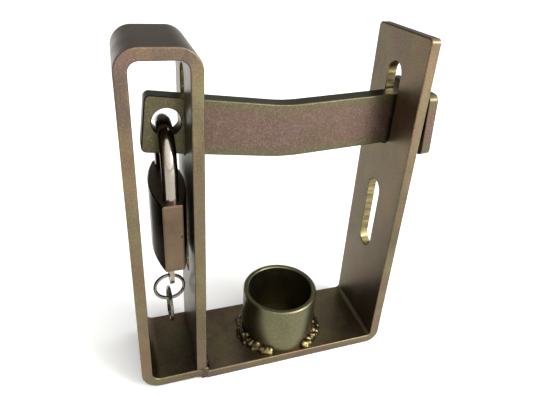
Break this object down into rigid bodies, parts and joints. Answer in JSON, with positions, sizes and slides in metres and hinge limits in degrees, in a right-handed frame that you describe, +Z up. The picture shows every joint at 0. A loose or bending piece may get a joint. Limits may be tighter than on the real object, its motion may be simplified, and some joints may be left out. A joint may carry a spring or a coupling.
{
  "type": "trailer coupler lock",
  "caption": "Steel bracket that plugs a trailer's ball coupler: a short tube on a base between two slotted uprights, closed by a crossbar and a padlock with its key.",
  "frame": {"origin": "on the socket tube's axis, at the underside of the base", "axes": "+Z up along the tube's axis, +X along the base towards the crossbar's stop plate, -Y to the user"},
  "size_m": [0.1705, 0.0559, 0.2064],
  "materials": {
    "frame_zinc": "yellow zinc passivate",
    "crossbar_zinc": "yellow zinc passivate",
    "weld_zinc": "yellow zinc passivate over weld metal",
    "shackle_chrome": "polished chrome plate",
    "lock_brass": "drawn, satin",
    "pin_brass": "turned",
    "spring_steel": "spring wire",
    "key_nickel": "nickel plate",
    "ring_nickel": "nickel plate"
  },
  "bodies": {
    "frame": {"guard_loop": "frame_zinc", "base_bracket": "frame_zinc", "coupler_tube": "frame_zinc", "tube_welds": "weld_zinc", "frame_welds": "weld_zinc"},
    "crossbar_unit": {"crossbar": "crossbar_zinc", "crossbar_head": "crossbar_zinc", "head_weld": "weld_zinc"},
    "shackle_rod": {"shackle": "shackle_chrome"},
    "lock_case": {"padlock_body": "lock_brass", "heel_stop_pin": "spring_steel", "plug_retaining_pin": "spring_steel", "driver_pins": "pin_brass", "pin_springs": "spring_steel", "pin_hole_plugs": "lock_brass", "latch_spring": "spring_steel", "shackle_spring": "spring_steel"},
    "plug_unit": {"plug": "pin_brass", "locking_cam": "pin_brass", "key": "key_nickel", "key_pins": "pin_brass"},
    "latch_bolt": {"latch": "pin_brass"},
    "ring_1": {"key_ring_1": "ring_nickel"},
    "ring_2": {"key_ring_2": "ring_nickel"}
  },
  "joints": [
    {"name": "crossbar_play", "type": "slide", "parent": "frame", "child": "crossbar_unit", "axis": [0.9932, 0, -0.1166], "range_m": [-0.003, 0.0002]},
    {"name": "shackle_swing", "type": "hinge", "parent": "crossbar_unit", "child": "shackle_rod", "pos_m": [-0.0701, 0.002, 0.13934], "axis": [1, 0, 0], "range_deg": [-90, 90]},
    {"name": "case_drop", "type": "slide", "parent": "shackle_rod", "child": "lock_case", "axis": [0, 0, -1], "range_m": [0, 0.007], "deforming": ["shackle_spring"]},
    {"name": "key_turn", "type": "hinge", "parent": "lock_case", "child": "plug_unit", "pos_m": [-0.0701, 0.002, 0.08624], "axis": [0, 0, 1], "range_deg": [0, 90]},
    {"name": "latch_draw", "type": "slide", "parent": "lock_case", "child": "latch_bolt", "axis": [0, -1, 0], "range_m": [0, 0.004], "deforming": ["latch_spring"]},
    {"name": "ring_1_swing", "type": "hinge", "parent": "plug_unit", "child": "ring_1", "pos_m": [-0.0701, 0.002, 0.06188], "axis": [1, 0, 0], "range_deg": [-60, 60]},
    {"name": "ring_2_swing", "type": "hinge", "parent": "ring_1", "child": "ring_2", "pos_m": [-0.0713, 0.002, 0.04508], "axis": [1, 0, 0], "range_deg": [-60, 40]}
  ],
  "couplings": [
    {"joint": "key_turn", "follows": "case_drop", "rad_per_m": 224.4},
    {"joint": "latch_draw", "follows": "case_drop", "ratio": 0.57142}
  ]
}
